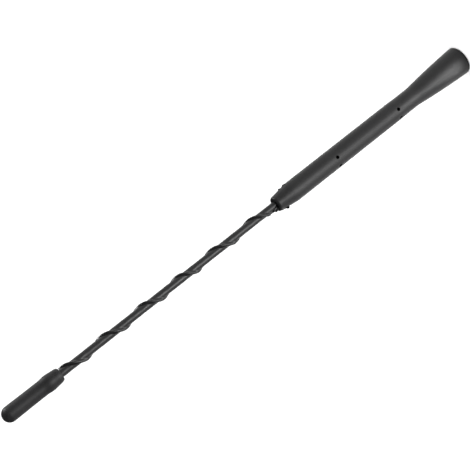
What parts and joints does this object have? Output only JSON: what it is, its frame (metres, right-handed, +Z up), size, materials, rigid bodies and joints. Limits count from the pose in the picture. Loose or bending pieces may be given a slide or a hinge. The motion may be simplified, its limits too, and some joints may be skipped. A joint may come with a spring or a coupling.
{
  "type": "car antenna mast",
  "caption": "Screw-on car antenna mast: flared rubber handle with a threaded brass foot insert, a thin whip with a spiral wire rib under a shrunk sleeve, and a round-ended tip cap.",
  "frame": {"origin": "centre of the foot's flat face, where it meets the car's antenna base", "axes": "+Z up the mast to the tip; -Y is the side that faces the picture's camera, and the wire enters the handle on the -X side"},
  "size_m": [0.016, 0.0158, 0.3031],
  "materials": {
    "grip_cover": "satin moulded",
    "grip_core": "black moulded",
    "threaded_insert": "turned",
    "whip_rod": "drawn glass fibre",
    "antenna_wire": "drawn copper",
    "whip_sleeve": "satin shrunk",
    "tip_cap": "matt moulded"
  },
  "bodies": {
    "root": {"grip_cover": "grip_cover", "grip_core": "grip_core", "threaded_insert": "threaded_insert", "whip_rod": "whip_rod", "antenna_wire": "antenna_wire", "whip_sleeve": "whip_sleeve", "tip_cap": "tip_cap"}
  },
  "joints": []
}
